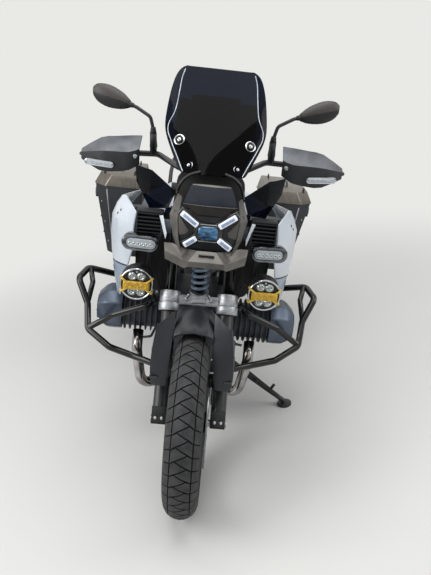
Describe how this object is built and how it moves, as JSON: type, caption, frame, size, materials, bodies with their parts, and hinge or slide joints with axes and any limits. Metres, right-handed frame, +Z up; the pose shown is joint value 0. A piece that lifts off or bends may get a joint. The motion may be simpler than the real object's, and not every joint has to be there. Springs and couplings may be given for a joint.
{
  "type": "adventure motorcycle",
  "caption": "Flat-twin adventure motorcycle on its side stand, with steering front end, turning wheels, folding stand, hinged side case lids, crash bars and extra lamps.",
  "frame": {"origin": "on the floor, below the middle of the whole motorcycle's box", "axes": "+Z up, -Y the way the motorcycle faces, +X towards its left side; it leans 14 degrees to its left on the side stand"},
  "size_m": [1.1215, 2.2777, 1.4758],
  "materials": {
    "tyre": "dusty rubber",
    "rim_black": "satin powder coat, bright spokes",
    "brake_disc": "ground steel",
    "axle_steel": "turned steel",
    "slider_black": "satin black paint",
    "fork_chrome": "hard chrome",
    "bridge_alloy": "brushed aluminium",
    "caliper_black": "anodised",
    "bar_black": "satin black",
    "plastic_black": "grained black plastic",
    "plastic_bronze": "bronze-grey metallic",
    "frame_black": "powder coat",
    "spring_grey": "powder coat",
    "engine_grey": "cast, painted grey",
    "cover_grey": "satin grey-blue paint",
    "pipe_chrome": "chrome pipe",
    "can_steel": "brushed steel",
    "guard_alloy": "bare sheet",
    "tank_paint": "silver-white paint",
    "panel_paint": "silver-white paint",
    "lamp_glass": "clear lens",
    "screen_smoke": "dark smoke",
    "lamp_silver": "silvered housing",
    "bar_gloss": "gloss black tube",
    "seat_vinyl": "black vinyl cover",
    "rack_black": "powder coat",
    "arm_grey": "satin grey paint",
    "peg_steel": "cast steel",
    "case_alloy": "anodised sheet"
  },
  "bodies": {
    "chassis": {"auxiliary_lamps": "lamp_silver", "beak": "plastic_bronze", "case_carrier": "frame_black", "cockpit": "plastic_black", "crash_bars": "bar_gloss", "cylinders": "engine_grey", "engine_block": "engine_grey", "exhaust_headers": "pipe_chrome", "footrests": "peg_steel", "front_carrier": "frame_black", "front_control_arm": "frame_black", "front_shock": "spring_grey", "fuel_tank": "tank_paint", "grilles": "plastic_black", "head_covers": "cover_grey", "headlamp_housing": "plastic_black", "headlamp_lights": "lamp_glass", "headlamp_shields": "plastic_bronze", "luggage_rack": "rack_black", "main_frame": "frame_black", "rear_frame": "frame_black", "rear_hugger": "plastic_black", "seats": "seat_vinyl", "side_cases": "case_alloy", "side_panels": "panel_paint", "silencer": "can_steel", "skid_plate": "guard_alloy", "stand_bracket": "frame_black", "swingarm": "arm_grey", "tail_unit": "plastic_black", "windscreen": "screen_smoke"},
    "steering": {"fork_sliders": "slider_black", "fork_tubes": "fork_chrome", "fork_bridge": "bridge_alloy", "front_axle": "axle_steel", "brake_hoses": "bar_black", "brake_calipers": "caliper_black", "handlebar": "bar_black", "hand_guards": "plastic_black", "mirrors": "plastic_black", "front_fender": "plastic_black"},
    "front_wheel": {"front_tyre": "tyre", "front_rim": "rim_black", "front_discs": "brake_disc"},
    "rear_wheel": {"rear_tyre": "tyre", "rear_rim": "rim_black", "rear_disc": "brake_disc"},
    "side_stand": {"side_stand": "frame_black"},
    "case_lid_left": {"case_lid_left": "case_alloy"},
    "case_lid_right": {"case_lid_right": "case_alloy"}
  },
  "joints": [
    {"name": "steering", "type": "hinge", "parent": "chassis", "child": "steering", "pos_m": [-0.03843, -0.53551, 0.78655], "axis": [0.2171, 0.4417, 0.8705], "range_deg": [-31, 39]},
    {"name": "front_wheel_spin", "type": "hinge", "parent": "steering", "child": "front_wheel", "pos_m": [-0.15761, -0.8141, 0.3193], "axis": [0.9754, -0.0626, -0.2114], "continuous": true},
    {"name": "rear_wheel_spin", "type": "hinge", "parent": "chassis", "child": "rear_wheel", "pos_m": [-0.15689, 0.71981, 0.31113], "axis": [0.9703, -0.0001, -0.2419], "continuous": true},
    {"name": "side_stand_fold", "type": "hinge", "parent": "chassis", "child": "side_stand", "pos_m": [0.00036, -0.21421, 0.22281], "axis": [0.6835, -0.1317, 0.7179], "range_deg": [0, 91]},
    {"name": "case_lid_left_open", "type": "hinge", "parent": "chassis", "child": "case_lid_left", "pos_m": [0.26859, 0.44595, 0.81071], "axis": [0, -1, 0.0003], "range_deg": [0, 92]},
    {"name": "case_lid_right_open", "type": "hinge", "parent": "chassis", "child": "case_lid_right", "pos_m": [-0.29806, 0.44598, 0.95199], "axis": [0, 1, -0.0003], "range_deg": [0, 92]}
  ]
}
